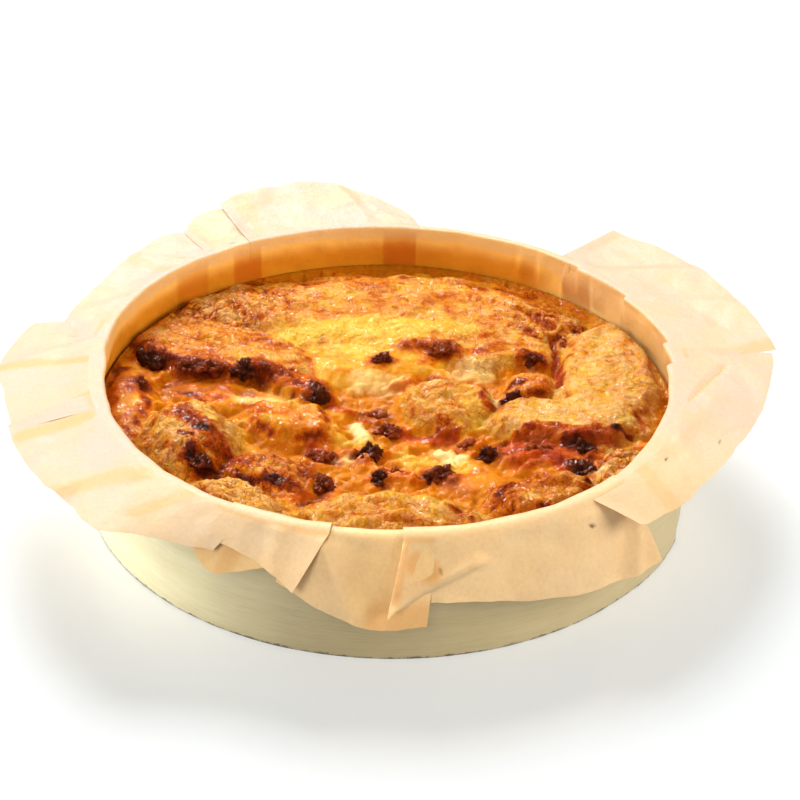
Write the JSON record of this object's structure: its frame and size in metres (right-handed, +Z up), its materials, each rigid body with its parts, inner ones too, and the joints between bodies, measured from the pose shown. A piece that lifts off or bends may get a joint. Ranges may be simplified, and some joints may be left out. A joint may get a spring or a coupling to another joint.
{
  "type": "quiche in a paper-lined baking case",
  "caption": "Round baked quiche with a puffed, browned custard top and charred bacon lardons, in a shallow veneer baking case lined with loose-edged baking paper.",
  "frame": {"origin": "centre of the underside of the case's base", "axes": "+Z up, -Y towards the front that the picture shows, +X to the right"},
  "size_m": [0.2311, 0.2136, 0.0456],
  "materials": {
    "veneer": "bare pale veneer with a fine grain along the strip",
    "paper": "thin brown baking paper, slightly waxy and see-through",
    "quiche": "baked egg custard, browned and glossy with fat on the mounds",
    "lardon": "charred bacon, dark red-brown to black, oily"
  },
  "bodies": {
    "root": {"case_wall": "veneer", "case_base": "veneer", "paper_liner": "paper", "quiche": "quiche", "lardon_01": "lardon", "lardon_02": "lardon", "lardon_03": "lardon", "lardon_04": "lardon", "lardon_05": "lardon", "lardon_06": "lardon", "lardon_07": "lardon", "lardon_08": "lardon", "lardon_09": "lardon", "lardon_10": "lardon", "lardon_11": "lardon", "lardon_12": "lardon", "lardon_13": "lardon", "lardon_14": "lardon", "lardon_15": "lardon", "lardon_16": "lardon", "lardon_17": "lardon", "lardon_18": "lardon", "lardon_19": "lardon", "lardon_20": "lardon", "lardon_21": "lardon", "lardon_22": "lardon", "lardon_23": "lardon"}
  },
  "joints": []
}
